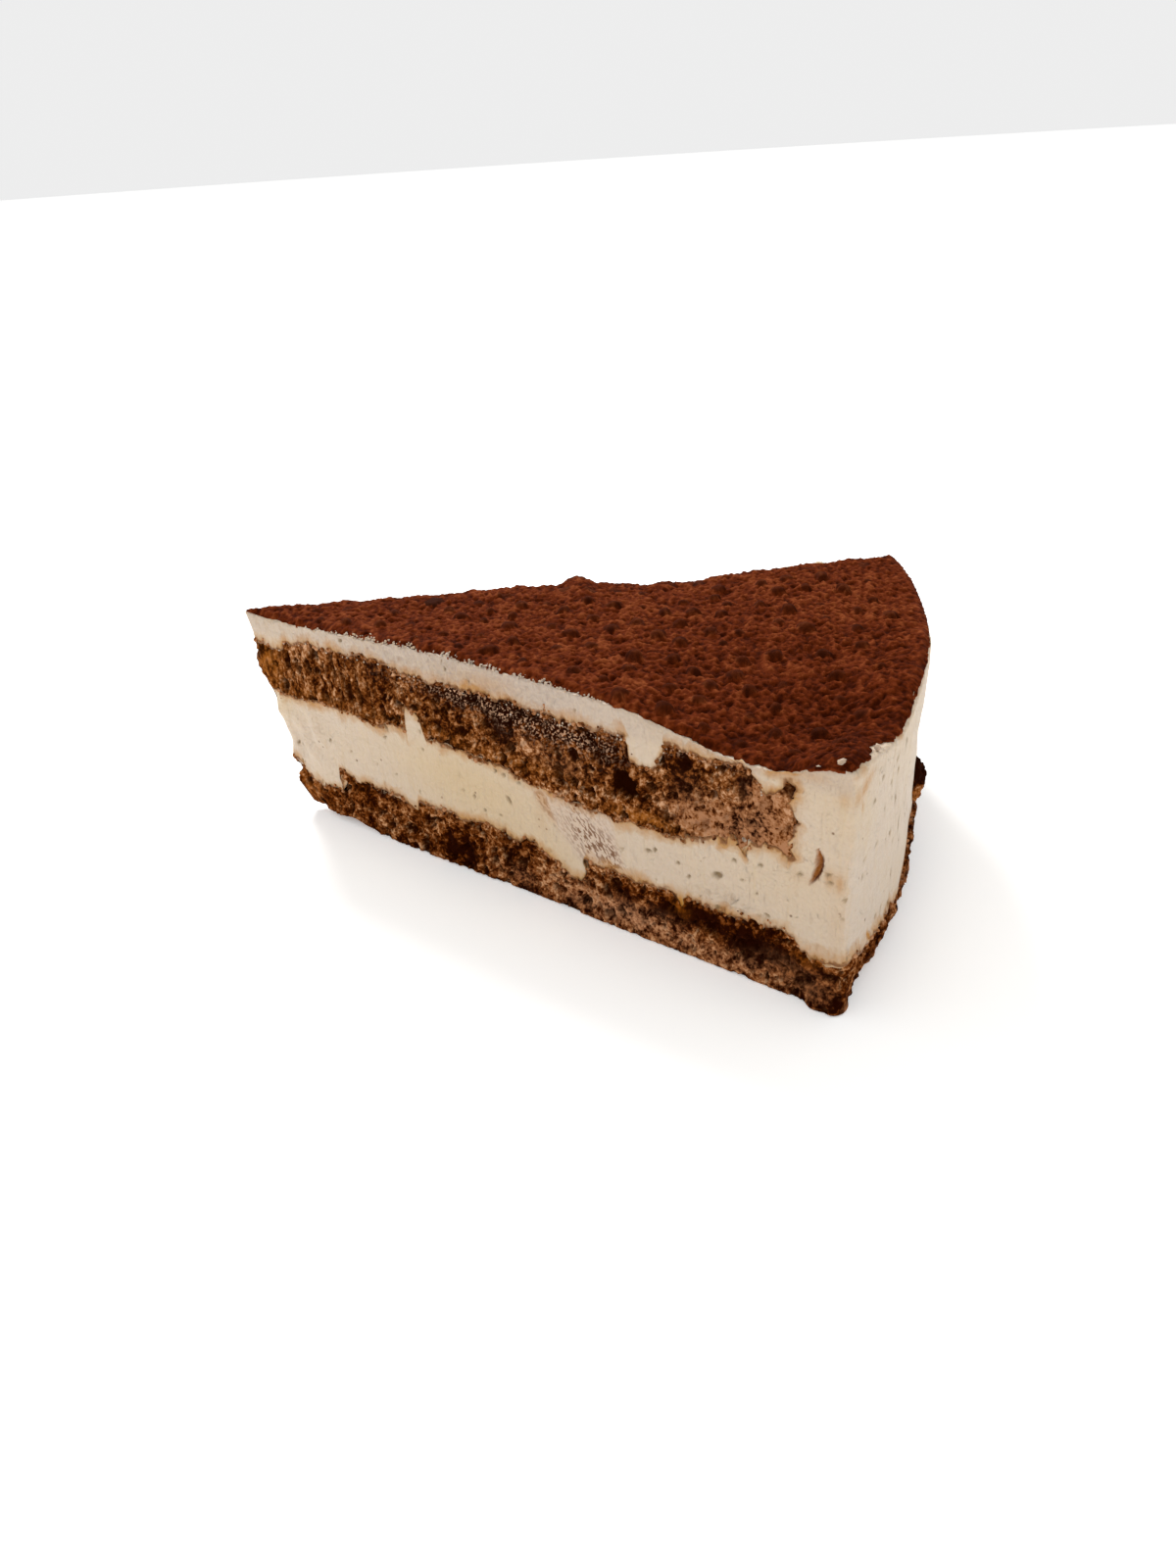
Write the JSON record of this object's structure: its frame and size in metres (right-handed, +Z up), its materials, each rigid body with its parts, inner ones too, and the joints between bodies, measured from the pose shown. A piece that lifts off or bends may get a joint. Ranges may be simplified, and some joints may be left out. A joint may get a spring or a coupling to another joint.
{
  "type": "tiramisu cake wedge",
  "caption": "Wedge of a round tiramisu cake: a soaked sponge base, mascarpone cream that wraps a second sponge at the rim, and a lumpy cocoa dusting on top.",
  "frame": {"origin": "on the surface that the wedge stands on, under the middle of its bounding box", "axes": "+X from the tip of the wedge to its round rim, +Z up; the cut face that the picture shows is on the -Y side"},
  "size_m": [0.1221, 0.0856, 0.0421],
  "materials": {
    "soaked_sponge": "open, wet crumb",
    "mascarpone_cream": "smooth, softly shining",
    "coffee_sponge": "open, moist crumb",
    "cocoa_powder": "dry powder with lumps"
  },
  "bodies": {
    "root": {"sponge_base": "soaked_sponge", "cream": "mascarpone_cream", "sponge_upper": "coffee_sponge", "cocoa": "cocoa_powder"}
  },
  "joints": []
}
